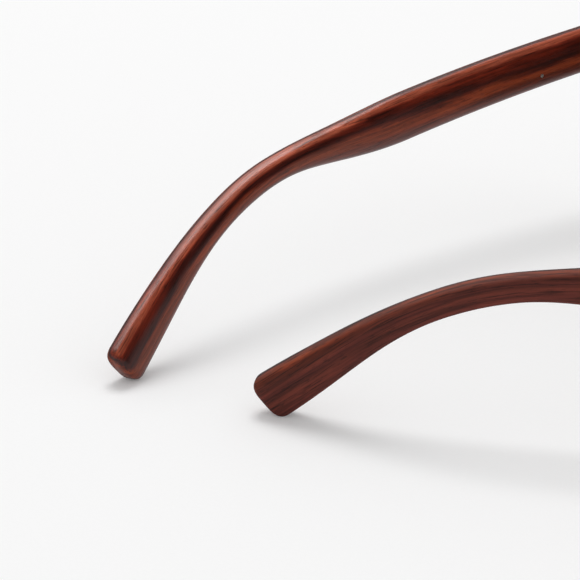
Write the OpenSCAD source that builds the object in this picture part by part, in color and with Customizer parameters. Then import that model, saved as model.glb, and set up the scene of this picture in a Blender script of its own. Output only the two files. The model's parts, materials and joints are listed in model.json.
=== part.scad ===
// Wooden sunglasses: a curved wooden front with two tinted lenses, and two bowed wooden
// temples that fold on spring hinges. Millimetres. The front looks along -Y, the temples run
// along +Y and the part stands on z = 0, on its rims and on its two temple tips.
// At rest the left temple is almost open and the right one is folded in further.

/* [Front] */
// Width of one lens opening
lens_w = 49; // [45:0.5:54]
// Height of one lens opening
lens_h = 41; // [37:0.5:46]
// Distance between the two lens openings
bridge_w = 18; // [15:0.5:22]
// Width of the rim round a lens
rim_w = 4; // [3:0.25:6]
// Thickness of the front
front_t = 4.4; // [4:0.1:6]
// Radius of the front's outer face, seen from above
front_r = 240; // [200:5:400]
// Height of the bridge over the nose
bridge_h = 13; // [10:0.5:16]
// Radius of the arch over the nose
nose_arch_r = 8; // [6:0.5:12]

/* [Lens shape] */
// Radius of the upper corner next to the nose
corner_top_in = 15; // [8:0.5:16]
// Radius of the upper outer corner
corner_top_out = 14; // [8:0.5:16]
// Radius of the lower outer corner
corner_low_out = 18; // [10:0.5:19]
// Radius of the lower corner next to the nose
corner_low_in = 19; // [10:0.5:20]
// How far the lower outer corner is drawn in
taper_out = 4; // [0:0.5:5]
// How far the lower inner corner is drawn away from the nose
taper_in = 2; // [0:0.5:3]
// Thickness of a lens
lens_t = 2; // [1.6:0.1:2.4]
// Depth of the groove that holds a lens
groove_d = 0.8; // [0.5:0.1:1.2]

/* [Nose pads] */
// How far a nose pad stands out behind the rim
pad_reach = 7; // [5:0.5:9]
// Height of a nose pad between the centres of its ends
pad_h = 9; // [7:0.5:11]
// Radius of a nose pad's rounded edges
pad_r = 1.9; // [1.6:0.1:2.2]

/* [Temples] */
// Length of a temple along its curve, from the front to the tip
temple_len = 146.5; // [136:0.5:155]
// Thickness of a temple
temple_t = 4.6; // [4.4:0.1:6]
// Height of a temple where it meets the front
butt_h = 9.6; // [8.5:0.1:12]
// Height of the tall part of a temple
blade_h = 9.9; // [8.5:0.1:12]
// Height of a temple at its thin neck over the ear
neck_h = 4.8; // [4:0.1:7]
// Height of the paddle at a temple's tip
paddle_h = 8.8; // [6:0.1:11]
// Distance from the tip to the end of the tall part
blade_from = 88; // [75:1:100]
// Distance from the tip to the front end of the neck
neck_front = 51; // [45:1:60]
// Distance from the tip to the rear end of the neck
neck_rear = 38; // [30:1:44]
// Length over which the tip is rounded
tip_round = 2.8; // [2:0.1:5]
// How far a temple turns inwards along its length, in degrees
temple_bow = 26; // [14:1:28]
// Outward angle of a temple at the hinge when it is open, in degrees
splay = 6; // [2:0.5:8]
// Downward slope of the straight part of a temple, in degrees
shank_slope = 6.5; // [5:0.25:8]
// Downward slope of a temple's tip, in degrees
tip_droop = 39.5; // [30:0.5:45]
// Distance from the tip to the end of the ear bend
bend_front = 65.5; // [55:0.5:75]
// Distance from the tip to the start of the ear bend
bend_rear = 14.5; // [8:0.5:25]
// How much the slope eases off just ahead of the ear bend, in degrees
saddle_ease = 4.8; // [0:0.2:6]
// How far a temple's tip leans, with its top edge outwards, in degrees
tip_lean = 8; // [0:0.5:14]
// Distance from the tip to where the lean starts
lean_from = 60; // [40:1:80]

/* [Hinges] */
// Distance from a lens opening to the pin of its hinge
hinge_out = 4.5; // [4.5:0.1:7]
// Diameter of the hinge knuckles
knuckle_d = 3; // [2.6:0.1:3.4]
// Diameter of the pivot screw
pivot_d = 1.4; // [1.1:0.1:1.6]
// Height of the middle knuckle
mid_knuckle_h = 2; // [1.6:0.1:2.4]
// Height of each outer knuckle
end_knuckle_h = 1.55; // [1.2:0.05:1.8]
// Thickness of the hinge leaf on the front
leaf_t = 1; // [0.8:0.1:1.2]
// Length of the spring housing in a temple
housing_len = 21; // [17:0.5:23]
// Height of the spring housing
housing_h = 5; // [4.6:0.1:5.6]
// Width of the spring housing
housing_w = 2.8; // [2.6:0.1:3]
// Bore of the spring housing
housing_bore = 2; // [1.8:0.05:2.1]
// Wire diameter of the hinge spring
spring_wire = 0.28; // [0.2:0.02:0.3]
// Number of turns of the hinge spring
spring_turns = 14; // [9:1:16]
// How far the spring lets a temple draw away from its hinge
spring_travel = 1.2; // [0.6:0.1:1.5]
// Diameter of the two pins that hold the housing in its temple
cross_pin_d = 0.8; // [0.6:0.05:1]

/* [Pose] */
// Fold of the left temple at rest, counted from fully open, in degrees
fold_left = 8; // [0:0.5:80]
// Fold of the right temple at rest, counted from fully open, in degrees
fold_right = 27.5; // [0:0.5:66]

/* [Hidden] */

// Colours
wood_colour = [0.30, 0.11, 0.07];
lens_colour = [0.10, 0.09, 0.09];
steel_colour = [0.70, 0.69, 0.66];
brass_colour = [0.72, 0.58, 0.34];

// Clearances: seated pieces, staked rod, running pin, sliding shank, room round the knuckles, butt face
seat_gap = 0.03;
stake_gap = 0.01;
pin_gap = 0.03;
slide_gap = 0.05;
knuckle_room = 0.3;
butt_gap = 0.08;
// Small step that keeps the end of a cut clear of the face that it opens
cut_over = 1;
// Facets of round pieces and of the front's wide curve, and steps of a rounded corner
$fn = 64;
curve_fn = 360;
corner_steps = 12;

// Corners of a lens opening, from the lower inner one round the outer side
lens_x = bridge_w / 2;
lens_z = rim_w;
lens_corners = [
  [lens_x + taper_in + corner_low_in, lens_z + corner_low_in],
  [lens_x + lens_w - taper_out - corner_low_out, lens_z + corner_low_out],
  [lens_x + lens_w - corner_top_out, lens_z + lens_h - corner_top_out],
  [lens_x + corner_top_in, lens_z + lens_h - corner_top_in]
];
lens_radii = [corner_low_in, corner_low_out, corner_top_out, corner_top_in];
lens_clear = 0.08;

// Hinge: its pin is the origin of the hinge frame, with the temple running along +Y when open
pin_x = lens_x + lens_w + hinge_out;
knuckle_r = knuckle_d / 2;
pivot_r = pivot_d / 2;
back_room = 0.4;
back_y = -(knuckle_r + back_room);
butt_y = back_y + butt_gap;
mid_half = mid_knuckle_h / 2;
knuckle_gap = 0.06;
stack_half = mid_half + knuckle_gap + end_knuckle_h;
pivot_head_r = 1.15;
pivot_head_h = 0.5;
slot_w = 0.3;
slot_d = 0.25;
leaf_in = 4.2;
leaf_out = knuckle_r - knuckle_room;
leaf_over = 2;
leaf_half = stack_half + leaf_over;
boss_edge = 1;
leaf_screw_x = -2.2;
leaf_screw_inset = 1.2;
leaf_screw_z = leaf_half - leaf_screw_inset;
leaf_screw_r = 0.55;
leaf_screw_len = 2.8;
leaf_head_r = 1.05;
leaf_head_h = 0.55;

// Temple blade: the housing's frame starts in the middle of the butt face
inner_step = 0.9;
blade_x = inner_step + temple_t / 2;
notch_r = knuckle_r + knuckle_room;
notch_half = stack_half + pivot_head_h + knuckle_room;
neck_half = mid_half - slide_gap;
neck_inset = 0.2;
neck_y = knuckle_r - neck_inset;
neck_room = 0.58;
shank_half_w = 0.55;
shank_half_h = 0.9;
housing_from = neck_y - butt_y + neck_room;
shank_lap = 0.6;
housing_wall = spring_travel + shank_lap;
housing_end = housing_from + housing_len;
spring_from = housing_from + housing_wall;
rod_r = 0.45;
retainer_t = 1;
retainer_inset = 3;
retainer_room = 0.1;
rod_spare = 0.3;
retainer_y = housing_end - retainer_t - retainer_inset;
spring_seat = 0.05;
spring_room = 0.14;
spring_r = housing_bore / 2 - spring_wire / 2 - spring_room;
pocket_end = housing_end + seat_gap;
cross_pin_wall = 0.35;
cross_pin_z = -(housing_bore / 2 + cross_pin_wall + cross_pin_d / 2);
cross_pin_inset = [3, 1.4];
cross_pin_ys = [housing_from + cross_pin_inset[0], housing_end - cross_pin_inset[1]];
cross_pin_depth = 1.2;
cross_pin_sink = 0.09;
cross_pin_from = housing_w / 2 - cross_pin_depth + seat_gap;
// The housing lies along the chord of the bowed blade, and the blade's middle bulges out from it
housing_toe = temple_bow * housing_end / (2 * temple_len);
bow_r = temple_len / (temple_bow * PI / 180);
function bulge_at(y) = y * tan(housing_toe) - y * y / (2 * bow_r);
function cross_pin_len(y) = temple_t / 2 - bulge_at(y) - cross_pin_sink - cross_pin_from;

// Temple loft
// A temple's outer side is flatter than its inner side
inner_power = 2.5;
outer_power = 4;
tip_power = 2.6;
edge_power = 2.4;
edge_round = 1.6;
first_ring = 0.05;
butt_spare = 1.5;
loft_rings = 44;
loft_sides = 20;
loft_ease = 1.5;
saddle_width = 24;

function smooth(t) = let (u = min(max(t, 0), 1)) u * u * (3 - 2 * u);
function power_round(t, p) = let (u = min(max(t, 0), 1)) pow(1 - pow(1 - u, p), 1 / p);
function bump(t) = abs(t) < 1 ? pow(1 - t * t, 2) : 0;

// Slope, inward heading, lean and height of a temple at a distance s from its tip
function slope_at(s) =
  shank_slope
  + (tip_droop - shank_slope) * (1 - smooth((s - bend_rear) / (bend_front - bend_rear)))
  - saddle_ease * bump((s - bend_front) / saddle_width);
function heading_at(s) = temple_bow * (1 - s / temple_len) - splay;
function lean_at(s) = tip_lean * (1 - smooth(s / lean_from));
function height_at(s) =
  neck_h
  + (paddle_h - neck_h) * (1 - smooth(s / neck_rear))
  + (blade_h - neck_h) * smooth((s - neck_front) / (blade_from - neck_front))
  + (butt_h - blade_h) * smooth((s - blade_from) / (temple_len - blade_from));

// Directions of a temple at s, before the lean: along it towards the hinge, and upwards
function along_at(s) =
  let (a = slope_at(s), b = heading_at(s)) [cos(a) * sin(b), -cos(a) * cos(b), sin(a)];
function up_at(s) =
  let (a = slope_at(s), b = heading_at(s)) [-sin(a) * sin(b), sin(a) * cos(b), cos(a)];
function sum_to(list, last) = last < 0 ? [0, 0, 0] : list[last] + sum_to(list, last - 1);

loft_s = [
  for (i = [0 : loft_rings])
    first_ring + (temple_len + butt_spare - first_ring) * pow(i / loft_rings, loft_ease)
];
loft_steps = [
  for (i = [0 : loft_rings - 1])
    (loft_s[i + 1] - loft_s[i]) * along_at((loft_s[i] + loft_s[i + 1]) / 2)
];
loft_far_end = sum_to(loft_steps, loft_rings - 1);
// The loft runs past the butt face, so its far end lies ahead of the blade frame's origin
loft_start = [blade_x, butt_y, 0] + butt_spare * along_at(temple_len) - loft_far_end;
loft_points = [for (i = [0 : loft_rings]) loft_start + sum_to(loft_steps, i - 1)];

function sign_power(v, p) = sign(v) * pow(abs(v), p);
function section_ring(i) =
  let (
    s = loft_s[i],
    half_h = height_at(s) * power_round(s / tip_round, tip_power) / 2,
    half_t = temple_t * power_round(s / edge_round, edge_power) / 2,
    lean = lean_at(s),
    plumb = up_at(s),
    level = cross(along_at(s), plumb),
    up = cos(lean) * plumb - sin(lean) * level,
    side = cos(lean) * level + sin(lean) * plumb
  ) [
    for (k = [0 : loft_sides - 1])
      let (
        a = 360 * k / loft_sides,
        power = 2 / (cos(a) < 0 ? outer_power : inner_power)
      )
        loft_points[i] + half_t * sign_power(cos(a), power) * side + half_h * sign_power(sin(a), power) * up
  ];
temple_rings = [for (i = [0 : loft_rings]) section_ring(i)];

// The hinge stands as high as the temple's lowest point asks, and the origin is the middle of the
// part's length on the floor
hinge_z = -min([for (ring = temple_rings) for (p = ring) p[2]]);
rear_y = max([for (ring = temple_rings) for (p = ring) p[0] * sin(fold_left) + p[1] * cos(fold_left)]);
front_in_r = front_r - front_t;
front_cy = back_y + sqrt(front_in_r * front_in_r - pin_x * pin_x);
front_y = front_cy - front_r;
middle_y = (front_y + rear_y) / 2;

// Front outline
end_spare = 0.4;
end_x = pin_x + blade_x + temple_t / 2 + end_spare;
end_frame = 1.2;
end_half = butt_h / 2 + end_frame;
end_corner = 2.6;
bridge_lap = 6;
bridge_drop = 3;
bridge_top = lens_z + lens_h - bridge_drop;
bridge_low = bridge_top - bridge_h;
nose_rise = 3;
brow_r = 20;
brow_dip = 2;
front_depth = 40;
shell_h = lens_h + 4 * rim_w;
lens_mid_r = front_r - front_t / 2;
pad_fn = 24;
pad_drop = 3.5;
pad_lean = 2.6;
pad_rise_in = 2;
pad_low_z = lens_z + corner_low_in - pad_drop;

// Coil spring: a round wire swept along a helix about the housing's axis
coil_steps = 8;
coil_sides = 6;
spring_len = retainer_y - spring_from - 2 * spring_seat - spring_wire;
spring_pitch = spring_len / spring_turns;
coil_points = [
  for (i = [0 : spring_turns * coil_steps])
    let (a = 360 * i / coil_steps)
      [
        spring_r * cos(a),
        spring_from + spring_seat + spring_wire / 2 + spring_pitch * i / coil_steps,
        spring_r * sin(a)
      ]
];
function unit(v) = v / norm(v);
function coil_ring(i) =
  let (
    a = 360 * i / coil_steps,
    out = [cos(a), 0, sin(a)],
    rise = spring_pitch / (360 * spring_r * PI / 180),
    travel = unit([-sin(a), rise, cos(a)]),
    across = cross(travel, out)
  ) [
    for (k = [0 : coil_sides - 1])
      let (b = 360 * k / coil_sides) coil_points[i] + spring_wire / 2 * (cos(b) * out + sin(b) * across)
  ];
coil_gap = min([
  for (i = [0 : len(coil_points) - 1])
    for (j = [i + coil_steps / 2 : 1 : len(coil_points) - 1])
      norm(coil_points[j] - coil_points[i])
]) - spring_wire;
echo(str("least gap between the spring's turns, mm: ", coil_gap));

// A closed skin through a list of rings with the same number of points
module loft(rings) {
  m = len(rings[0]);
  last = len(rings) - 1;
  skin = [
    for (i = [0 : last - 1])
      for (k = [0 : m - 1])
        let (a = i * m + k, b = i * m + (k + 1) % m)
          each [[a, a + m, b], [b, a + m, b + m]]
  ];
  caps = [
    for (k = [1 : m - 2])
      each [[0, k, k + 1], [last * m, last * m + k + 1, last * m + k]]
  ];
  polyhedron([for (ring = rings) each ring], concat(skin, caps), convexity = 6);
}

// Outward direction of the tangent from one corner to the next
function tangent_turn(centres, radii, i) =
  let (j = (i + 1) % len(centres), step = centres[j] - centres[i])
    atan2(step[1], step[0]) - acos((radii[i] - radii[j]) / norm(step));

// Rounded corners joined by straight tangents, with the corner radii grown by grow
module rounded_outline(centres, radii, grow = 0) {
  count = len(centres);
  polygon([
    for (i = [0 : count - 1])
      let (
        from = tangent_turn(centres, radii, (i + count - 1) % count),
        to = tangent_turn(centres, radii, i),
        sweep = to < from ? to - from + 360 : to - from
      )
        for (k = [0 : corner_steps])
          let (a = from + sweep * k / corner_steps)
            centres[i] + (radii[i] + grow) * [cos(a), sin(a)]
  ]);
}

module both_sides() {
  children();
  mirror([1, 0, 0])
    children();
}

module lens_outline(grow = 0) {
  rounded_outline(lens_corners, lens_radii, grow);
}

// An outline in X and Z swept along Y through the whole depth of the front
module through_front() {
  translate([0, front_depth / 2, 0])
    rotate([90, 0, 0])
      linear_extrude(front_depth)
        children();
}

// The space between two upright cylinders about the centre of the front's curve
module front_shell(outer, inner) {
  translate([0, front_cy, -cut_over])
    difference() {
      cylinder(r = outer, h = shell_h, $fn = curve_fn);
      translate([0, 0, -cut_over])
        cylinder(r = inner, h = shell_h + 2 * cut_over, $fn = curve_fn);
    }
}

// The end piece flares out of the rim's upper outer corner to the temple's butt face
module end_outline() {
  rim_corner = lens_corners[2];
  x = end_x - end_corner;
  low = hinge_z - end_half + end_corner;
  high = hinge_z + end_half - end_corner;
  rounded_outline([rim_corner, [x, low], [x, high]], [lens_radii[2] + rim_w, end_corner, end_corner]);
}

// The flat boss behind the end piece that the hinge leaf and the temple's butt face meet
module boss_outline() {
  left = pin_x - leaf_in - boss_edge;
  x = end_x - end_corner;
  low = hinge_z - end_half;
  high = hinge_z + end_half;
  rounded_outline(
    [[left + boss_edge, low + boss_edge], [x, low + end_corner],
     [x, high - end_corner], [left + boss_edge, high - boss_edge]],
    [boss_edge, end_corner, end_corner, boss_edge]
  );
}

module bridge_outline() {
  half = lens_x + bridge_lap;
  difference() {
    translate([-half, bridge_low])
      square([2 * half, bridge_h]);
    translate([0, bridge_low + nose_rise - nose_arch_r])
      circle(r = nose_arch_r);
    translate([0, bridge_top + brow_r - brow_dip])
      circle(r = brow_r);
  }
}

module front_outline() {
  both_sides() {
    lens_outline(rim_w);
    end_outline();
  }
  bridge_outline();
}

// Hinge frames. Everything on a side is drawn for the left one and mirrored for the right one.
module on_side(left) {
  translate([0, -middle_y, 0])
    mirror([left ? 0 : 1, 0, 0])
      translate([pin_x, 0, hinge_z])
        children();
}

module on_fold(left) {
  on_side(left)
    rotate([0, 0, left ? fold_left : fold_right])
      children();
}

module in_blade() {
  translate([blade_x, butt_y, 0])
    rotate([0, 0, housing_toe - splay])
      rotate([-shank_slope, 0, 0])
        children();
}

// A cylinder along +Y that starts at y = from
module rod_y(r, from, length) {
  translate([0, from, 0])
    rotate([-90, 0, 0])
      cylinder(r = r, h = length);
}

// A block with its X and Z centred and its Y from one value to another
module bar_y(half_x, half_z, from, to) {
  translate([-half_x, from, -half_z])
    cube([2 * half_x, to - from, 2 * half_z]);
}

module at_leaf_screws() {
  for (z = [-leaf_screw_z, leaf_screw_z])
    translate([leaf_screw_x, back_y, z])
      rotate([90, 0, 0])
        children();
}

// Countersunk screw along +Z with its head at z = 0, grown by grow for its hole
module countersunk(grow = 0) {
  cylinder(r1 = leaf_head_r + grow, r2 = leaf_screw_r + grow, h = leaf_head_h);
  cylinder(r = leaf_screw_r + grow, h = leaf_screw_len + grow);
}

module leaf_plate(grow = 0) {
  translate([-leaf_in - grow, back_y - leaf_t - grow, -leaf_half - grow])
    cube([leaf_in + leaf_out + 2 * grow, leaf_t + grow, 2 * (leaf_half + grow)]);
}

module front_frame() {
  color(wood_colour)
    translate([0, -middle_y, 0])
      difference() {
        intersection() {
          union() {
            intersection() {
              through_front()
                front_outline();
              front_shell(front_r, front_in_r);
            }
            intersection() {
              through_front()
                both_sides()
                  boss_outline();
              front_shell(front_r, front_in_r - front_t);
            }
          }
          translate([-end_x - cut_over, back_y - front_depth, -cut_over])
            cube([2 * (end_x + cut_over), front_depth, shell_h]);
        }
        through_front()
          both_sides()
            lens_outline();
        intersection() {
          through_front()
            both_sides()
              lens_outline(groove_d);
          front_shell(lens_mid_r + lens_t / 2 + lens_clear, lens_mid_r - lens_t / 2 - lens_clear);
        }
        both_sides()
          translate([pin_x, 0, hinge_z]) {
            leaf_plate(seat_gap);
            at_leaf_screws()
              countersunk(seat_gap);
          }
      }
}

module lens(left) {
  color(lens_colour)
    translate([0, -middle_y, 0])
      mirror([left ? 0 : 1, 0, 0])
        intersection() {
          through_front()
            lens_outline(groove_d - lens_clear);
          front_shell(lens_mid_r + lens_t / 2, lens_mid_r - lens_t / 2);
        }
}

// A nose pad is a rounded wedge, glued behind the rim and splayed like the sides of a nose
module nose_pad(left) {
  base_y = front_cy - front_in_r;
  color(wood_colour)
    translate([0, -middle_y, 0])
      mirror([left ? 0 : 1, 0, 0])
        intersection() {
          hull() {
            for (up = [0, 1])
              for (back = [0, 1])
                translate([
                  lens_x - pad_rise_in * up + pad_lean * back,
                  base_y + (pad_reach - pad_r) * back,
                  pad_low_z + pad_h * up
                ])
                  sphere(r = pad_r, $fn = pad_fn);
          }
          translate([0, front_cy, 0])
            cylinder(r = front_in_r - seat_gap, h = shell_h, $fn = curve_fn);
        }
}

module hinge_leaf(left) {
  color(brass_colour)
    on_side(left)
      difference() {
        union() {
          leaf_plate();
          for (z = [-stack_half, stack_half - end_knuckle_h])
            translate([0, 0, z]) {
              cylinder(r = knuckle_r, h = end_knuckle_h);
              translate([-knuckle_r, back_y - leaf_t / 2, 0])
                cube([knuckle_r + leaf_out, leaf_t / 2 - back_y, end_knuckle_h]);
            }
        }
        translate([0, 0, -leaf_half])
          cylinder(r = pivot_r + seat_gap, h = 2 * leaf_half);
        at_leaf_screws()
          countersunk(seat_gap);
      }
}

module leaf_screws(left) {
  color(steel_colour)
    on_side(left)
      at_leaf_screws()
        difference() {
          countersunk();
          translate([-leaf_head_r, -slot_w / 2, -cut_over])
            cube([2 * leaf_head_r, slot_w, cut_over + slot_d]);
        }
}

module pivot_screw(left) {
  color(steel_colour)
    on_side(left)
      difference() {
        union() {
          translate([0, 0, -stack_half])
            cylinder(r = pivot_r, h = 2 * stack_half + pivot_head_h);
          translate([0, 0, stack_half + seat_gap])
            cylinder(r = pivot_head_r, h = pivot_head_h - seat_gap);
        }
        translate([-pivot_head_r, -slot_w / 2, stack_half + pivot_head_h - slot_d])
          cube([2 * pivot_head_r, slot_w, slot_d + cut_over]);
      }
}

// The sliding tongue: a knuckle on the pivot, a neck, a flat shank and a thin spring rod
module hinge_slider(left) {
  color(brass_colour)
    on_fold(left)
      difference() {
        union() {
          translate([0, 0, -mid_half])
            cylinder(r = knuckle_r, h = mid_knuckle_h);
          translate([0, -neck_y, -neck_half])
            cube([blade_x + shank_half_w, 2 * neck_y, 2 * neck_half]);
          in_blade() {
            bar_y(shank_half_w, shank_half_h, -butt_y, spring_from);
            rod_y(rod_r, spring_from - slide_gap, retainer_y + retainer_t + rod_spare - spring_from);
          }
        }
        translate([0, 0, -leaf_half])
          cylinder(r = pivot_r + pin_gap, h = 2 * leaf_half);
      }
}

module hinge_spring(left) {
  color(steel_colour)
    on_fold(left)
      in_blade()
        loft([for (i = [0 : len(coil_points) - 1]) coil_ring(i)]);
}

module spring_retainer(left) {
  color(steel_colour)
    on_fold(left)
      in_blade()
        difference() {
          rod_y(housing_bore / 2 - retainer_room, retainer_y, retainer_t);
          rod_y(rod_r + stake_gap, retainer_y - cut_over, retainer_t + 2 * cut_over);
        }
}

// A cross pin's frame: its +Z points out of the blade's inner face
module at_cross_pin(y) {
  translate([0, y, cross_pin_z])
    rotate([0, -90, 0])
      children();
}

module hinge_housing(left) {
  color(brass_colour)
    on_fold(left)
      in_blade()
        difference() {
          bar_y(housing_w / 2, housing_h / 2, housing_from, housing_end);
          bar_y(shank_half_w + slide_gap, shank_half_h + slide_gap, housing_from - cut_over,
                spring_from + cut_over / 2);
          rod_y(housing_bore / 2, spring_from, housing_len);
          for (y = cross_pin_ys)
            at_cross_pin(y)
              translate([0, 0, cross_pin_from - seat_gap])
                cylinder(r = cross_pin_d / 2 + seat_gap, h = temple_t);
        }
}

module housing_pins(left) {
  color(steel_colour)
    on_fold(left)
      in_blade()
        for (y = cross_pin_ys)
          at_cross_pin(y)
            translate([0, 0, cross_pin_from])
              cylinder(r = cross_pin_d / 2, h = cross_pin_len(y));
}

module temple(left) {
  color(wood_colour)
    on_fold(left)
      difference() {
        loft(temple_rings);
        translate([-temple_len / 2, butt_y - temple_len, -temple_len / 2])
          cube([temple_len, temple_len, temple_len]);
        in_blade() {
          bar_y(housing_w / 2 + seat_gap, housing_h / 2 + seat_gap, -2 * butt_spare, pocket_end);
          for (y = cross_pin_ys)
            at_cross_pin(y)
              cylinder(r = cross_pin_d / 2 + seat_gap, h = temple_t);
        }
        translate([0, 0, -notch_half])
          cylinder(r = notch_r, h = 2 * notch_half);
        translate([-notch_r, 2 * butt_y, -notch_half])
          cube([2 * notch_r, -2 * butt_y, 2 * notch_half]);
        translate([-notch_r, 2 * butt_y, -mid_half - knuckle_room])
          cube([notch_r + blade_x, neck_y + knuckle_room - 2 * butt_y, 2 * (mid_half + knuckle_room)]);
      }
}

front_frame();
lens(true);  // lens_left
lens(false);  // lens_right
nose_pad(true);  // nose_pad_left
nose_pad(false);  // nose_pad_right
hinge_leaf(true);  // hinge_leaf_left
hinge_leaf(false);  // hinge_leaf_right
leaf_screws(true);  // leaf_screws_left
leaf_screws(false);  // leaf_screws_right
pivot_screw(true);  // pivot_screw_left
pivot_screw(false);  // pivot_screw_right
hinge_slider(true);  // hinge_slider_left
hinge_slider(false);  // hinge_slider_right
hinge_spring(true);  // hinge_spring_left
hinge_spring(false);  // hinge_spring_right
spring_retainer(true);  // spring_retainer_left
spring_retainer(false);  // spring_retainer_right
hinge_housing(true);  // hinge_housing_left
hinge_housing(false);  // hinge_housing_right
housing_pins(true);  // housing_pins_left
housing_pins(false);  // housing_pins_right
temple(true);  // temple_left
temple(false);  // temple_right
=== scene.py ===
# Looks of the wooden sunglasses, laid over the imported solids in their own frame.
# The frame is in metres. Shapes that repeat the solids are worked out in millimetres first.
# Named lengths are in millimetres and angles in degrees, unless a comment says otherwise.

import json
import math

import bmesh
import bpy
import numpy as np
from mathutils import Matrix, Vector, kdtree


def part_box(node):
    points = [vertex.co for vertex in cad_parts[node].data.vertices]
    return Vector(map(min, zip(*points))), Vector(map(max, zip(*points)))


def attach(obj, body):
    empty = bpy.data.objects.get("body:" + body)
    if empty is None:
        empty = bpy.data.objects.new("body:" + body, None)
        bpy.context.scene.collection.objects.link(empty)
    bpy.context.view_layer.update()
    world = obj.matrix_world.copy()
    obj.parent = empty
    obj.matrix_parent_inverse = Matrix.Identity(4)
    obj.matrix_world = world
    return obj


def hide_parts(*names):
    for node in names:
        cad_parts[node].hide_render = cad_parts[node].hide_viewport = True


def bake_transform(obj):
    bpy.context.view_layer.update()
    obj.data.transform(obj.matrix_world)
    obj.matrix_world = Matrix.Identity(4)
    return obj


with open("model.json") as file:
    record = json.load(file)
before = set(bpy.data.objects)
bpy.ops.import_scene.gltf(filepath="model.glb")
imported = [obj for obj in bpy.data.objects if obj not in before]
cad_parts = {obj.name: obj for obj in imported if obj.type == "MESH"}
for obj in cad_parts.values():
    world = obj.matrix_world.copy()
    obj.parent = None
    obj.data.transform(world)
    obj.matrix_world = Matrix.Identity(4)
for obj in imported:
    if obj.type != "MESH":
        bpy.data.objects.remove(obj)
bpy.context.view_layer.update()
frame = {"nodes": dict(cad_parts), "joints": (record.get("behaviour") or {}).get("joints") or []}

MM = 0.001
JOINTS = {joint["name"]: joint for joint in frame["joints"]}
SIDES = ("left", "right")
WHITE = (1, 1, 1, 1)

# Temple, from the tip forwards, with the sizes of its solid
TEMPLE_LEN = 146.5
TEMPLE_T = 4.6
BUTT_H = 9.6
BLADE_H = 9.9
NECK_H = 4.8
PADDLE_H = 8.8
BLADE_FROM = 88.0
NECK_FRONT = 51.0
NECK_REAR = 38.0
TEMPLE_BOW = 26.0
SPLAY = 6.0
SHANK_SLOPE = 6.5
TIP_DROOP = 39.5
BEND_FRONT = 65.5
BEND_REAR = 14.5
SADDLE_EASE = 4.8
SADDLE_WIDTH = 24.0
TIP_LEAN = 8.0
LEAN_FROM = 60.0
TIP_ROUND = 2.8
TIP_POWER = 2.6
EDGE_ROUND = 1.6
EDGE_POWER = 2.4
INNER_POWER = 2.5
OUTER_POWER = 4.0
FIRST_RING = 0.02
BUTT_SPARE = 1.5
TEMPLE_RINGS = 300
RING_SPACING = 1.5
TEMPLE_SIDES = 72
TEMPLE_CREASE = 40.0
CENTRE_STEP = 0.1

# Bands of the wood, counted from the temple's middle: they spread with its height,
# slope to its inner side and lie higher on the blade than at the tip
BAND_HALF = 6.0
BAND_SIDE = 2.0
TIP_RISE = 0.15
BLADE_RISE = 0.20
RISE_FROM = 15.0
RISE_TO = 45.0

# Painted highlight along the top edge of each temple, in bands of lighter wood: the share of the half
# height where it starts, the width over which it fades, how far out from the middle it reaches, and how
# much more the neck has
TOP_PAINTED_HIGHLIGHT = {"left": 4.0, "right": 0.0}
HIGHLIGHT_FROM = 0.7
HIGHLIGHT_FADE = 1.2
HIGHLIGHT_OUT_BLADE = 0.6
HIGHLIGHT_OUT_NECK = 1.8
HIGHLIGHT_MORE_NECK = 1.2

# Where in the wood each piece is cut from, along, across and up the fibres
TEMPLE_CUT_FROM = {"left": (0, 0, 0), "right": (700, -1, 0)}
FRONT_CUT_FROM = (2000, 0, 0)
PAD_CUT_FROM = {"left": (2500, 0, 0), "right": (3500, 0, 0)}

# Edges of the front and the nose pads: reach within which the solid's corners are merged, size of the
# mesh's faces, passes of rubbing in a finer mesh and then in the final one, and how far from a hinge
# leaf the rubbing starts and grows to full
EASED_WELD = 1.0
FRONT_VOXEL = 0.3
FRONT_PASSES = 64
PAD_VOXEL = 0.2
PAD_PASSES = 24
FINE_SHARE = 0.5
LAST_PASSES = 4
PASS_STRENGTH = 0.5
UNRUBBED = 0.4
RUB_FADE = 1.2
SOFT_CREASE = 60.0

# Wood of the front and the nose pads: bands per millimetre of height, and the frame's axes in
# the wood, with Y turned round so that all sides have the polish of a temple's inner side
FRONT_BANDS = 0.3
FRONT_AXES = np.array([1, -1, 1])

# Edges of the metal pieces
WELD_REACH = 0.001
BROKEN_EDGE = 0.05
BROKEN_STEPS = 2
SHARP_FROM = 50.0

# Hinge end of the temple, from the pin or along the housing
BLADE_X = 3.2
BUTT_Y = -1.82
HOUSING_END = 24.7
HOUSING_TOE = TEMPLE_BOW * HOUSING_END / (2 * TEMPLE_LEN)
SEAT_GAP = 0.03
POCKET_HALF_X = 1.43
POCKET_HALF_Z = 2.53
POCKET_END = HOUSING_END + SEAT_GAP
NOTCH_R = 1.8
NOTCH_HALF_Z = 3.41
NECK_CUT_HALF_Z = 1.3
NECK_CUT_BACK = 1.6
CROSS_PIN_YS = (6.7, 23.3)
CROSS_PIN_Z = -1.75
CROSS_HOLE_R = 0.43
CUT_OVER = 3.0
BUTT_CUT = 9.0
BUTT_CUT_OUT = 15.0
CUTTER_SIDES = 64

# Coil spring, along the housing
SPRING_FROM = 5.69
SPRING_LEN = 14.82
SPRING_TURNS = 14
SPRING_PITCH = SPRING_LEN / SPRING_TURNS
SPRING_R = 0.72
SPRING_WIRE = 0.28
SPRING_STEPS = 28
WIRE_SIDES = 12

# Camera, fitted to both temples' outlines in the photo, whose side and focal length are in pixels
PHOTO_SIDE = 580
CAMERA_FOCAL = 2298.3535
CAMERA_AZIMUTH = 28.6797
CAMERA_ELEVATION = 23.1348
CAMERA_ROLL = 0.6561
CAMERA_DISTANCE = 401.6363
CAMERA_TARGET = (12.7241, 47.9358, 21.0861)
CAMERA_CLIP = 10.0
SENSOR = 36.0

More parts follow.
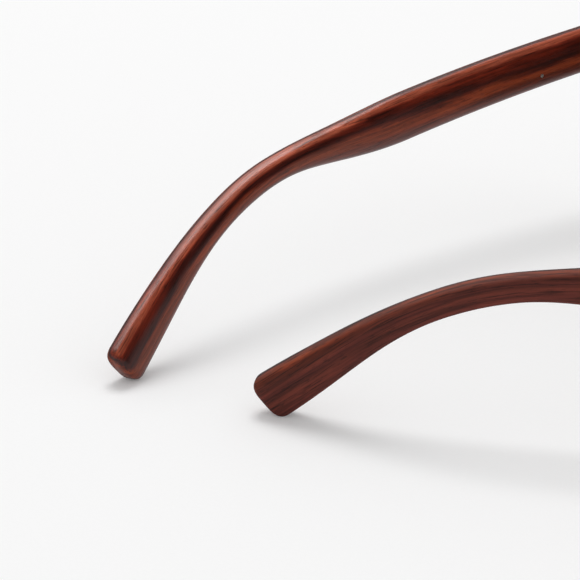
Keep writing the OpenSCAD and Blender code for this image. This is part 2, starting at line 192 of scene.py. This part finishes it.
# Light: a soft one over the glasses, a broad one that only the polish shows, and an even room.
# Directions are from the glasses, sizes and distances are in metres, and powers are in watts
KEY_DIRECTION = (0.292, -0.142, 1.0)
KEY_SIZE = (1.4, 1.4)
KEY_POWER = 38.0
SHEEN_DIRECTION = (0.63, 0.126, 0.766)
SHEEN_SIZE = (3.7, 1.4)
SHEEN_POWER = 108.0
LIGHT_DISTANCE = 3.0
ROOM_GREY = 0.625
ROOM_REFLECTED = 0.03


def smooth(t):
    """Smooth step from 0 to 1."""
    t = np.clip(t, 0, 1)
    return t * t * (3 - 2 * t)


def rounded(s, length, power):
    """Share of the full half size at s from the tip, whose last length is rounded."""
    return (1 - (1 - np.clip(s / length, 0, 1)) ** power) ** (1 / power)


def temple_axes(s):
    """Directions along, across and up the temple at distances s from the tip, at full opening."""
    dip = np.clip((s - BEND_FRONT) / SADDLE_WIDTH, -1, 1)
    bend = 1 - smooth((s - BEND_REAR) / (BEND_FRONT - BEND_REAR))
    slope = SHANK_SLOPE + (TIP_DROOP - SHANK_SLOPE) * bend - SADDLE_EASE * (1 - dip * dip) ** 2
    slope = np.radians(slope)
    heading = np.radians(TEMPLE_BOW * (1 - s / TEMPLE_LEN) - SPLAY)
    along = np.stack([
        np.cos(slope) * np.sin(heading),
        -np.cos(slope) * np.cos(heading),
        np.sin(slope),
    ], axis=1)
    up = np.stack([
        -np.sin(slope) * np.sin(heading),
        np.sin(slope) * np.cos(heading),
        np.cos(slope),
    ], axis=1)
    side = np.cross(along, up)
    lean = np.radians(TIP_LEAN * (1 - smooth(s / LEAN_FROM)))[:, None]
    return along, np.cos(lean) * side + np.sin(lean) * up, np.cos(lean) * up - np.sin(lean) * side


def temple_height(s):
    """Full height of the temple at distances s from the tip, before the tip is rounded."""
    paddle = (PADDLE_H - NECK_H) * (1 - smooth(s / NECK_REAR))
    blade = (BLADE_H - NECK_H) * smooth((s - NECK_FRONT) / (BLADE_FROM - NECK_FRONT))
    butt = (BUTT_H - BLADE_H) * smooth((s - BLADE_FROM) / (TEMPLE_LEN - BLADE_FROM))
    return NECK_H + paddle + blade + butt


def temple_centres(s):
    """Centre points of the temple at distances s from the tip, with the pin at the origin."""
    fine = np.arange(0, TEMPLE_LEN + BUTT_SPARE + CENTRE_STEP, CENTRE_STEP)
    along = temple_axes(fine)[0]
    steps = (along[1:] + along[:-1]) / 2 * np.diff(fine)[:, None]
    path = np.vstack([np.zeros(3), np.cumsum(steps, axis=0)])

    def at(where):
        return np.stack([np.interp(where, fine, path[:, i]) for i in range(3)], axis=1)

    return at(s) - at(np.array([TEMPLE_LEN])) + np.array([BLADE_X, BUTT_Y, 0])


def temple_rings():
    """Rings of points round the temple from the tip to past the butt."""
    share = np.linspace(0, 1, TEMPLE_RINGS) ** RING_SPACING
    s = FIRST_RING + (TEMPLE_LEN + BUTT_SPARE - FIRST_RING) * share
    along, side, up = temple_axes(s)
    half_h = temple_height(s) / 2 * rounded(s, TIP_ROUND, TIP_POWER)
    half_t = TEMPLE_T / 2 * rounded(s, EDGE_ROUND, EDGE_POWER)
    angle = np.linspace(0, 2 * np.pi, TEMPLE_SIDES, endpoint=False)
    power = 2 / np.where(np.cos(angle) < 0, OUTER_POWER, INNER_POWER)
    x = np.sign(np.cos(angle)) * np.abs(np.cos(angle)) ** power
    z = np.sign(np.sin(angle)) * np.abs(np.sin(angle)) ** power
    across = (half_t[:, None] * x)[:, :, None] * side[:, None, :]
    upward = (half_h[:, None] * z)[:, :, None] * up[:, None, :]
    return temple_centres(s)[:, None, :] + across + upward


def link_mesh(name, bm):
    """New object in the scene with bm as its mesh."""
    mesh = bpy.data.meshes.new(name)
    bm.to_mesh(mesh)
    bm.free()
    piece = bpy.data.objects.new(name, mesh)
    bpy.context.scene.collection.objects.link(piece)
    return piece


def loft(name, rings):
    """Closed object through rings of points, capped at both ends."""
    bm = bmesh.new()
    rows = [[bm.verts.new(point) for point in ring] for ring in rings]
    for row, ahead in zip(rows, rows[1:]):
        for j in range(len(row)):
            k = (j + 1) % len(row)
            bm.faces.new((row[j], row[k], ahead[k], ahead[j]))
    bm.faces.new(rows[0][::-1])
    bm.faces.new(rows[-1])
    bmesh.ops.recalc_face_normals(bm, faces=bm.faces)
    return link_mesh(name, bm)


def box_cutter(low, high, place=Matrix.Identity(4)):
    """Box between two corners, moved by place."""
    low, high = Vector(low), Vector(high)
    size = Matrix.Diagonal((*(high - low), 1))
    bm = bmesh.new()
    bmesh.ops.create_cube(bm, size=1, matrix=place @ Matrix.Translation((low + high) / 2) @ size)
    return link_mesh("cutter", bm)


def round_cutter(radius, length, place):
    """Cylinder of that length along its own Z, moved by place."""
    bm = bmesh.new()
    bmesh.ops.create_cone(
        bm,
        cap_ends=True,
        segments=CUTTER_SIDES,
        radius1=radius,
        radius2=radius,
        depth=length,
        matrix=place,
    )
    return link_mesh("cutter", bm)


def settle(piece):
    """Makes the piece's modifiers part of its mesh."""
    graph = bpy.context.evaluated_depsgraph_get()
    mesh = bpy.data.meshes.new_from_object(piece.evaluated_get(graph))
    piece.modifiers.clear()
    piece.data = mesh


def carve(piece, cutters):
    """Takes the cutters out of the piece."""
    for cutter in cutters:
        cut = piece.modifiers.new("cut", "BOOLEAN")
        cut.operation = "DIFFERENCE"
        cut.solver = "EXACT"
        cut.object = cutter
    settle(piece)
    for cutter in cutters:
        bpy.data.objects.remove(cutter)


def shade(mesh, angle):
    """Smooth shading that stays crisp along edges sharper than angle, in degrees."""
    mesh.polygons.foreach_set("use_smooth", [True] * len(mesh.polygons))
    mesh.set_sharp_from_angle(angle=math.radians(angle))


def points_of(mesh):
    """Vertex positions of a mesh, one per row."""
    co = np.empty(len(mesh.vertices) * 3)
    mesh.vertices.foreach_get("co", co)
    return co.reshape(-1, 3)


def write_grain(mesh, grain, band):
    """Keeps each vertex's place along and across the fibres, and the band of the wood it lies in."""
    place = mesh.attributes.new("grain", "FLOAT_VECTOR", "POINT")
    place.data.foreach_set("vector", grain.astype(np.float32).ravel())
    layer = mesh.attributes.new("band", "FLOAT", "POINT")
    layer.data.foreach_set("value", band.astype(np.float32))


def dress(piece, material):
    """Gives a piece its material."""
    piece.data.materials.clear()
    piece.data.materials.append(material)


def blade_place():
    """Where the hinge housing lies in the temple, with the pin at the origin."""
    turn = Matrix.Rotation(math.radians(HOUSING_TOE - SPLAY), 4, "Z")
    slope = Matrix.Rotation(math.radians(-SHANK_SLOPE), 4, "X")
    return Matrix.Translation((BLADE_X, BUTT_Y, 0)) @ turn @ slope


def fold_place(side):
    """From the hinge at full opening, in millimetres, to the frame at rest."""
    joint = JOINTS["fold_" + side]
    mirror = Matrix.Diagonal((1 if side == "left" else -1, 1, 1, 1))
    fold = Matrix.Rotation(math.radians(-joint["range_deg"][0]), 4, "Z")
    return Matrix.Translation(joint["pos_m"]) @ mirror @ fold @ Matrix.Scale(MM, 4)


def move_mesh(mesh, place):
    """Moves a mesh by place and keeps its faces outwards where place mirrors it."""
    mesh.transform(place)
    if place.determinant() < 0:
        mesh.flip_normals()


def hinge_cutters():
    """Cuts for a temple's end: the butt, the housing's pocket, the knuckles' room and the pin holes."""
    blade = blade_place()
    cutters = [
        box_cutter((-BUTT_CUT, BUTT_Y - BUTT_CUT, -BUTT_CUT), (BUTT_CUT_OUT, BUTT_Y, BUTT_CUT)),
        box_cutter(
            (-POCKET_HALF_X, -CUT_OVER, -POCKET_HALF_Z),
            (POCKET_HALF_X, POCKET_END, POCKET_HALF_Z),
            blade,
        ),
        round_cutter(NOTCH_R, 2 * NOTCH_HALF_Z, Matrix.Identity(4)),
        box_cutter((-NOTCH_R, 2 * BUTT_Y, -NOTCH_HALF_Z), (NOTCH_R, 0, NOTCH_HALF_Z)),
        box_cutter(
            (-NOTCH_R, 2 * BUTT_Y, -NECK_CUT_HALF_Z),
            (BLADE_X, NECK_CUT_BACK, NECK_CUT_HALF_Z),
        ),
    ]
    for y in CROSS_PIN_YS:
        hole = Matrix.Translation((-CUT_OVER / 2, y, CROSS_PIN_Z)) @ Matrix.Rotation(math.pi / 2, 4, "Y")
        cutters.append(round_cutter(CROSS_HOLE_R, CUT_OVER, blade @ hole))
    return cutters


def temple_grain(mesh, cut_from, top_highlight):
    """Place of each vertex in the bent wood, whose fibres follow the temple's length, and its band,
    lifted along the top edge as painted highlight.
    """
    s = np.arange(0, TEMPLE_LEN + BUTT_SPARE, CENTRE_STEP)
    centres = temple_centres(s)
    along, side, up = temple_axes(s)
    tree = kdtree.KDTree(len(s))
    for i, centre in enumerate(centres):
        tree.insert(centre, i)
    tree.balance()
    points = points_of(mesh)
    near = np.array([tree.find(point)[1] for point in points])
    off = points - centres[near]
    blade = smooth((s - NECK_FRONT) / (BLADE_FROM - NECK_FRONT))
    bend = smooth((s - RISE_FROM) / (RISE_TO - RISE_FROM))
    rise = TIP_RISE + BLADE_RISE * bend
    reach = HIGHLIGHT_OUT_NECK + (HIGHLIGHT_OUT_BLADE - HIGHLIGHT_OUT_NECK) * blade
    inward = np.sum(off * side[near], axis=1)
    upward = np.sum(off * up[near], axis=1)
    forward = s[near] + np.sum(off * along[near], axis=1)
    grain = np.stack([forward, inward, upward], axis=1) + cut_from
    level = 2 * upward / temple_height(s)[near]
    band = BAND_HALF * (level - rise[near]) + BAND_SIDE * inward
    # Painted highlight: along the top edge the band is lifted to lighter wood, more at the neck
    highlighted = smooth((level - HIGHLIGHT_FROM) / (1 - HIGHLIGHT_FROM))
    more = 1 + (HIGHLIGHT_MORE_NECK * bend * (1 - blade))[near]
    band += top_highlight * highlighted * more * smooth((inward + reach[near]) / HIGHLIGHT_FADE)
    write_grain(mesh, grain * MM, band)


def make_temple(side, wood):
    """One wooden temple with the cuts for its hinge."""
    name = "temple_" + side
    temple = loft(name + "_wood", temple_rings())
    carve(temple, hinge_cutters())
    temple_grain(temple.data, TEMPLE_CUT_FROM[side], TOP_PAINTED_HIGHLIGHT[side])
    move_mesh(temple.data, fold_place(side))
    shade(temple.data, TEMPLE_CREASE)
    dress(temple, wood)
    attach(temple, "arm_" + side)
    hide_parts(name)


def remesh(piece, voxel):
    """Gives a piece an even mesh with faces of about that size."""
    even = piece.modifiers.new("even", "REMESH")
    even.mode = "VOXEL"
    even.voxel_size = voxel
    settle(piece)


def rub_share(points):
    """How far edges at these points are rubbed soft: not at all at the hinge leaves."""
    share = np.ones(len(points))
    for side in SIDES:
        low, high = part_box("hinge_leaf_" + side)
        outside = np.maximum(np.array(low) - points, points - np.array(high))
        distance = np.linalg.norm(np.maximum(outside, 0), axis=1)
        share = np.minimum(share, smooth((distance - UNRUBBED * MM) / (RUB_FADE * MM)))
    return share


def rub(piece, passes):
    """Rubs a piece's edges soft, in that many light passes, except close to the hinges."""
    group = piece.vertex_groups.new(name="worn")
    for index, weight in enumerate(rub_share(points_of(piece.data))):
        group.add([index], float(weight), "REPLACE")
    ease = piece.modifiers.new("ease", "SMOOTH")
    ease.factor = PASS_STRENGTH
    ease.iterations = passes
    ease.vertex_group = group.name
    settle(piece)
    piece.vertex_groups.clear()


def make_eased(node, body, voxel, passes, wood, cut_from):
    """Copy of a solid in carved wood, rubbed soft in a fine mesh and then brought to a coarser one."""
    piece = bpy.data.objects.new(node + "_wood", frame["nodes"][node].data.copy())
    bpy.context.scene.collection.objects.link(piece)
    weld = piece.modifiers.new("weld", "WELD")
    weld.merge_threshold = EASED_WELD * MM
    remesh(piece, FINE_SHARE * voxel)
    rub(piece, passes)
    remesh(piece, voxel)
    rub(piece, LAST_PASSES)
    points = points_of(piece.data)
    height = points[:, 2] / MM
    band = FRONT_BANDS * (height - height.mean())
    write_grain(piece.data, points * FRONT_AXES + np.array(cut_from) * MM, band)
    shade(piece.data, SOFT_CREASE)
    dress(piece, wood)
    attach(piece, body)
    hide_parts(node)


def make_spring(side, steel):
    """The coil on the slider's rod, as a round wire that the temple presses shut against the collar."""
    name = "hinge_spring_" + side
    turns = np.linspace(0, SPRING_TURNS, SPRING_TURNS * SPRING_STEPS + 1)
    angle = 2 * np.pi * turns
    out = np.stack([np.cos(angle), np.zeros_like(angle), np.sin(angle)], axis=1)
    axis = np.array([0, 1, 0])
    centres = SPRING_R * out + axis * (SPRING_FROM + SPRING_PITCH * turns)[:, None]
    around = np.linspace(0, 2 * np.pi, WIRE_SIDES, endpoint=False)
    wire = SPRING_WIRE / 2
    rings = [
        [centre + wire * (math.cos(a) * ray + math.sin(a) * axis) for a in around]
        for centre, ray in zip(centres, out)
    ]
    spring = loft(name + "_wire", rings)
    place = fold_place(side) @ blade_place()
    move_mesh(spring.data, place)
    shade(spring.data, SOFT_CREASE)
    dress(spring, steel)
    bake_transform(spring)
    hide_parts(name)


def finish_metal(node, material):
    """Keeps a solid as it is, with its sharp edges broken."""
    piece = frame["nodes"][node]
    dress(piece, material)
    weld = piece.modifiers.new("weld", "WELD")
    weld.merge_threshold = WELD_REACH * MM
    bevel = piece.modifiers.new("broken_edges", "BEVEL")
    bevel.width = BROKEN_EDGE * MM
    bevel.segments = BROKEN_STEPS
    bevel.limit_method = "ANGLE"
    bevel.angle_limit = math.radians(SHARP_FROM)


def new_material(name):
    """Material with one main shader."""
    material = bpy.data.materials.new(name)
    material.use_nodes = True
    tree = material.node_tree
    tree.nodes.clear()
    output = tree.nodes.new("ShaderNodeOutputMaterial")
    shader = tree.nodes.new("ShaderNodeBsdfPrincipled")
    tree.links.new(shader.outputs["BSDF"], output.inputs["Surface"])
    return material, tree, shader


def feed(tree, value, socket):
    """Links a socket's value into another, or sets a plain number or vector on it."""
    if isinstance(value, bpy.types.NodeSocket):
        tree.links.new(value, socket)
    else:
        socket.default_value = value


def calc(tree, operation, a, b):
    """Result of an operation on two values."""
    node = tree.nodes.new("ShaderNodeMath")
    node.operation = operation
    feed(tree, a, node.inputs[0])
    feed(tree, b, node.inputs[1])
    return node.outputs[0]


def remap(tree, value, low, high, to_low=0.0, to_high=1.0):
    """Value taken from one range to another, smoothly and never past its ends."""
    node = tree.nodes.new("ShaderNodeMapRange")
    node.interpolation_type = "SMOOTHSTEP"
    feed(tree, value, node.inputs["Value"])
    node.inputs["From Min"].default_value = low
    node.inputs["From Max"].default_value = high
    node.inputs["To Min"].default_value = to_low
    node.inputs["To Max"].default_value = to_high
    return node.outputs["Result"]


def noise(tree, place, per_metre, detail, rough):
    """Noise with that many features per metre along each of the three directions of place."""
    stretch = tree.nodes.new("ShaderNodeVectorMath")
    stretch.operation = "MULTIPLY"
    feed(tree, place, stretch.inputs[0])
    stretch.inputs[1].default_value = per_metre
    texture = tree.nodes.new("ShaderNodeTexNoise")
    feed(tree, stretch.outputs["Vector"], texture.inputs["Vector"])
    texture.inputs["Scale"].default_value = 1.0
    texture.inputs["Detail"].default_value = detail
    texture.inputs["Roughness"].default_value = rough
    return texture.outputs["Fac"]


def ramp(tree, value, stops):
    """Colour along a row of (place, colour) stops."""
    node = tree.nodes.new("ShaderNodeValToRGB")
    feed(tree, value, node.inputs["Fac"])
    elements = node.color_ramp.elements
    while len(elements) < len(stops):
        elements.new(0.5)
    for element, (place, colour) in zip(elements, stops):
        element.position = place
        element.color = (*colour, 1)
    return node.outputs["Color"]


# Places of a mix node's colour sockets, which share their names with its other sockets
MIX_A = 6
MIX_B = 7
MIX_OUT = 2


def blend(tree, kind, share, a, b):
    """Two colours mixed in that share."""
    node = tree.nodes.new("ShaderNodeMix")
    node.data_type = "RGBA"
    node.blend_type = kind
    feed(tree, share, node.inputs["Factor"])
    feed(tree, a, node.inputs[MIX_A])
    feed(tree, b, node.inputs[MIX_B])
    return node.outputs[MIX_OUT]


def add_bump(tree, shader, height, strength, depth):
    """Fine relief on the shader's surface."""
    bump = tree.nodes.new("ShaderNodeBump")
    bump.inputs["Strength"].default_value = strength
    bump.inputs["Distance"].default_value = depth
    feed(tree, height, bump.inputs["Height"])
    tree.links.new(bump.outputs["Normal"], shader.inputs["Normal"])


# Bands across the wood, as (band, colour), from a temple's lower edge to its upper one; the two
# lightest, at 9.0 and 11.0, are painted highlight for the lifted top edge
WOOD_AND_PAINTED_LIGHT_BANDS = (
    # Bands -11.0 to -1.5: their red is the wood's, their added grey is painted reflection of the floor
    (-11.0, (0.126, 0.0246, 0.0161)),
    (-8.5, (0.111, 0.0219, 0.0148)),
    (-6.0, (0.141, 0.0280, 0.0167)),
    (-4.5, (0.116, 0.0219, 0.0148)),
    (-3.0, (0.139, 0.0273, 0.0161)),
    (-1.5, (0.137, 0.0257, 0.0128)),
    (0.0, (0.171, 0.0257, 0.0080)),
    (1.5, (0.230, 0.0396, 0.0118)),
    (2.8, (0.203, 0.0321, 0.0096)),
    (3.7, (0.096, 0.0118, 0.0043)),
    (4.5, (0.041, 0.0048, 0.0027)),
    (5.3, (0.047, 0.0056, 0.0028)),
    (6.2, (0.100, 0.0100, 0.0035)),
    (7.6, (0.178, 0.0178, 0.0051)),
    (9.0, (0.313, 0.0571, 0.0245)),
    (11.0, (0.394, 0.0815, 0.0380)),
)
BAND_REACH = 11.0

# Noise in the wood, as (features per metre along, across and up, detail, roughness)
WANDER = ((14, 60, 60), 2, 0.5)
RIPPLE = ((70, 600, 600), 3, 0.6)
STREAK = ((45, 1100, 1500), 3, 0.62)
DASH = ((110, 2600, 3200), 2, 0.55)
FIBRE = ((300, 7000, 9000), 2, 0.6)
PORE = ((500, 5000, 5000), 1, 0.5)

# What the noise does, as (low noise, high noise, value at low, value at high): it sets a place
# in the row of bands, a factor on the tone, or a roughness
WANDER_BANDS = (0.25, 0.75, 0.44, 0.56)
RIPPLE_BANDS = (0.25, 0.75, -0.04, 0.04)
STREAK_TONE = (0.30, 0.72, 0.58, 1.36)
FIBRE_TONE = (0.25, 0.75, 0.82, 1.18)
DASH_TONE = (0.56, 0.68, 1.0, 0.45)
FIBRE_ROUGH = (0.2, 0.8, 0.26, 0.38)

# Pores, with the noise at their edge and in their middle
PORE_EDGE = (0.60, 0.72)
PORE_SHARE = 0.5
PORE_COLOUR = (0.02, 0.006, 0.004, 1)

# Polish: the outer side of a temple is rougher, by the place across the fibres
OUTER_ROUGH = (-2.0 * MM, 0.5 * MM, 0.45, 0.0)
WOOD_SPECULAR = 0.3

# Relief here and below, as (strength, depth in metres)
WOOD_RELIEF = (0.25, 0.02 * MM)


def make_wood():
    """Oiled dark red-brown wood: broad bands, dark and light streaks, fine fibres and open pores, with
    painted highlight in its lightest bands and painted reflection in its lower ones.
    """
    material, tree, shader = new_material("oiled_rosewood")
    place = tree.nodes.new("ShaderNodeAttribute")
    place.attribute_name = "grain"
    grain = place.outputs["Vector"]
    split = tree.nodes.new("ShaderNodeSeparateXYZ")
    tree.links.new(grain, split.inputs[0])
    layer = tree.nodes.new("ShaderNodeAttribute")
    layer.attribute_name = "band"

    wander = noise(tree, grain, *WANDER)
    ripple = noise(tree, grain, *RIPPLE)
    streak = noise(tree, grain, *STREAK)
    dash = noise(tree, grain, *DASH)
    fibre = noise(tree, grain, *FIBRE)
    pore = noise(tree, grain, *PORE)

    band = calc(tree, "DIVIDE", layer.outputs["Fac"], 2 * BAND_REACH)
    band = calc(tree, "ADD", band, remap(tree, wander, *WANDER_BANDS))
    band = calc(tree, "ADD", band, remap(tree, ripple, *RIPPLE_BANDS))
    stops = [((at + BAND_REACH) / (2 * BAND_REACH), colour) for at, colour in WOOD_AND_PAINTED_LIGHT_BANDS]
    colour = ramp(tree, band, stops)

    tone = remap(tree, streak, *STREAK_TONE)
    tone = calc(tree, "MULTIPLY", tone, remap(tree, fibre, *FIBRE_TONE))
    tone = calc(tree, "MULTIPLY", tone, remap(tree, dash, *DASH_TONE))
    grey = tree.nodes.new("ShaderNodeCombineColor")
    for socket in grey.inputs:
        tree.links.new(tone, socket)
    colour = blend(tree, "MULTIPLY", 1.0, colour, grey.outputs[0])
    pores = remap(tree, pore, *PORE_EDGE)
    colour = blend(tree, "MIX", calc(tree, "MULTIPLY", pores, PORE_SHARE), colour, PORE_COLOUR)
    tree.links.new(colour, shader.inputs["Base Color"])

    matt = remap(tree, split.outputs["Y"], *OUTER_ROUGH)
    rough = calc(tree, "ADD", remap(tree, fibre, *FIBRE_ROUGH), matt)
    tree.links.new(rough, shader.inputs["Roughness"])
    shader.inputs["Specular IOR Level"].default_value = WOOD_SPECULAR
    relief = calc(tree, "SUBTRACT", fibre, pores)
    add_bump(tree, shader, relief, *WOOD_RELIEF)
    return material


# Metals, as (bright colour, dull colour, roughness where bright), and what they share
BRASS = ((0.72, 0.50, 0.22), (0.48, 0.31, 0.13), 0.24)
STEEL = ((0.60, 0.59, 0.57), (0.42, 0.41, 0.40), 0.22)
DRAWN_LINES = ((9000, 700, 9000), 2, 0.6)
DULL_FILM = ((300, 300, 300), 3, 0.6)
FILM_COLOUR = (0.4, 0.75)
FILM_ROUGH = (0.3, 0.8)
DULL_MORE = 0.18
METAL_RELIEF = (0.2, 0.004 * MM)


def make_metal(name, bright, dull, rough):
    """Drawn metal, with fine lines and a dull film in places."""
    material, tree, shader = new_material(name)
    place = tree.nodes.new("ShaderNodeTexCoord").outputs["Object"]
    lines = noise(tree, place, *DRAWN_LINES)
    film = noise(tree, place, *DULL_FILM)
    colour = blend(tree, "MIX", remap(tree, film, *FILM_COLOUR), (*bright, 1), (*dull, 1))
    tree.links.new(colour, shader.inputs["Base Color"])
    shader.inputs["Metallic"].default_value = 1.0
    gloss = remap(tree, film, *FILM_ROUGH, rough, rough + DULL_MORE)
    tree.links.new(gloss, shader.inputs["Roughness"])
    add_bump(tree, shader, lines, *METAL_RELIEF)
    return material


# Tinted lens, with a smear of grease
TINT = (0.105, 0.09, 0.075, 1)
TINT_IOR = 1.5
SMEAR = ((60, 60, 160), 4, 0.6)
SMEAR_ROUGH = (0.45, 0.8, 0.01, 0.09)
SMEAR_RELIEF = (0.05, 0.01 * MM)


def make_tint():
    """Dark tinted lens with a faint film of finger grease."""
    material, tree, shader = new_material("tinted_lens")
    place = tree.nodes.new("ShaderNodeTexCoord").outputs["Object"]
    smear = noise(tree, place, *SMEAR)
    shader.inputs["Base Color"].default_value = TINT
    shader.inputs["Transmission Weight"].default_value = 1.0
    shader.inputs["IOR"].default_value = TINT_IOR
    tree.links.new(remap(tree, smear, *SMEAR_ROUGH), shader.inputs["Roughness"])
    add_bump(tree, shader, smear, *SMEAR_RELIEF)
    return material


# White paper of the floor, whose size is in metres
FLOOR_SIZE = 6.0
FLOOR_GREY = 0.8
FLOOR_SPECKLE = 0.01
FLOOR_GLOW = 0.14
TOOTH = ((1500, 1500, 1500), 2, 0.5)
TOOTH_FROM = 0.3
TOOTH_TO = 0.7
PAPER_ROUGH = 0.9
PAPER_SPECULAR = 0.1


def make_floor():
    """White paper under the glasses, with a faint glow that is seen and reflected but lights nothing."""
    bm = bmesh.new()
    bmesh.ops.create_grid(bm, x_segments=1, y_segments=1, size=FLOOR_SIZE / 2)
    floor = link_mesh("floor", bm)
    material, tree, shader = new_material("white_paper")
    place = tree.nodes.new("ShaderNodeTexCoord").outputs["Object"]
    tooth = noise(tree, place, *TOOTH)
    dark = (FLOOR_GREY,) * 3
    pale = (FLOOR_GREY + FLOOR_SPECKLE,) * 3
    paper = ramp(tree, tooth, ((TOOTH_FROM, dark), (TOOTH_TO, pale)))
    tree.links.new(paper, shader.inputs["Base Color"])
    path = tree.nodes.new("ShaderNodeLightPath").outputs
    seen = calc(tree, "MAXIMUM", path["Is Glossy Ray"], path["Is Transmission Ray"])
    seen = calc(tree, "MAXIMUM", path["Is Camera Ray"], seen)
    tree.links.new(calc(tree, "MULTIPLY", seen, FLOOR_GLOW), shader.inputs["Emission Strength"])
    shader.inputs["Emission Color"].default_value = WHITE
    shader.inputs["Roughness"].default_value = PAPER_ROUGH
    shader.inputs["Specular IOR Level"].default_value = PAPER_SPECULAR
    floor.data.materials.append(material)


def add_light(name, direction, size, power):
    """Soft light of that width and height, in that direction from the glasses and facing them."""
    data = bpy.data.lights.new(name, "AREA")
    data.shape = "RECTANGLE"
    data.size, data.size_y = size
    data.energy = power
    light = bpy.data.objects.new(name, data)
    direction = Vector(direction).normalized()
    light.location = Vector(CAMERA_TARGET) * MM + direction * LIGHT_DISTANCE
    light.rotation_euler = direction.to_track_quat("Z", "Y").to_euler()
    bpy.context.scene.collection.objects.link(light)
    return light


def make_light():
    """Soft light above, one beyond that only the polish shows, and an even room."""
    key = add_light("key", KEY_DIRECTION, KEY_SIZE, KEY_POWER)
    sheen = add_light("sheen", SHEEN_DIRECTION, SHEEN_SIZE, SHEEN_POWER)
    key.visible_glossy = False
    sheen.visible_diffuse = False
    world = bpy.data.worlds.new("room")
    world.use_nodes = True
    tree = world.node_tree
    path = tree.nodes.new("ShaderNodeLightPath")
    strength = remap(tree, path.outputs["Is Glossy Ray"], 0, 1, ROOM_GREY, ROOM_REFLECTED)
    background = tree.nodes["Background"]
    tree.links.new(strength, background.inputs["Strength"])
    background.inputs["Color"].default_value = WHITE
    bpy.context.scene.world = world


def make_camera():
    """Camera at the photo's place."""
    azimuth, elevation = math.radians(CAMERA_AZIMUTH), math.radians(CAMERA_ELEVATION)
    back = Vector((
        -math.cos(azimuth) * math.cos(elevation),
        math.sin(azimuth) * math.cos(elevation),
        math.sin(elevation),
    ))
    right = Vector((-math.sin(azimuth), -math.cos(azimuth), 0))
    right = Matrix.Rotation(math.radians(CAMERA_ROLL), 3, back) @ right
    axes = Matrix((right, back.cross(right), back)).transposed()
    place = (Vector(CAMERA_TARGET) + back * CAMERA_DISTANCE) * MM
    data = bpy.data.cameras.new("camera")
    data.sensor_width = SENSOR
    data.lens = CAMERA_FOCAL / PHOTO_SIDE * SENSOR
    data.clip_start = CAMERA_CLIP * MM
    camera = bpy.data.objects.new("camera", data)
    camera.matrix_world = Matrix.Translation(place) @ axes.to_4x4()
    bpy.context.scene.collection.objects.link(camera)
    bpy.context.scene.camera = camera


def make_glasses():
    """All pieces of the glasses with their materials."""
    wood = make_wood()
    brass = make_metal("drawn_brass", *BRASS)
    steel = make_metal("drawn_steel", *STEEL)
    tint = make_tint()
    make_eased("front_frame", "front", FRONT_VOXEL * MM, FRONT_PASSES, wood, FRONT_CUT_FROM)
    for side in SIDES:
        make_temple(side, wood)
        make_spring(side, steel)
        make_eased("nose_pad_" + side, "front", PAD_VOXEL * MM, PAD_PASSES, wood, PAD_CUT_FROM[side])
        dress(frame["nodes"]["lens_" + side], tint)
        for node in ("hinge_leaf_", "hinge_slider_", "hinge_housing_"):
            finish_metal(node + side, brass)
        for node in ("leaf_screws_", "pivot_screw_", "spring_retainer_", "housing_pins_"):
            finish_metal(node + side, steel)


make_glasses()
make_floor()
make_light()
make_camera()
bpy.context.scene.view_settings.view_transform = "Standard"
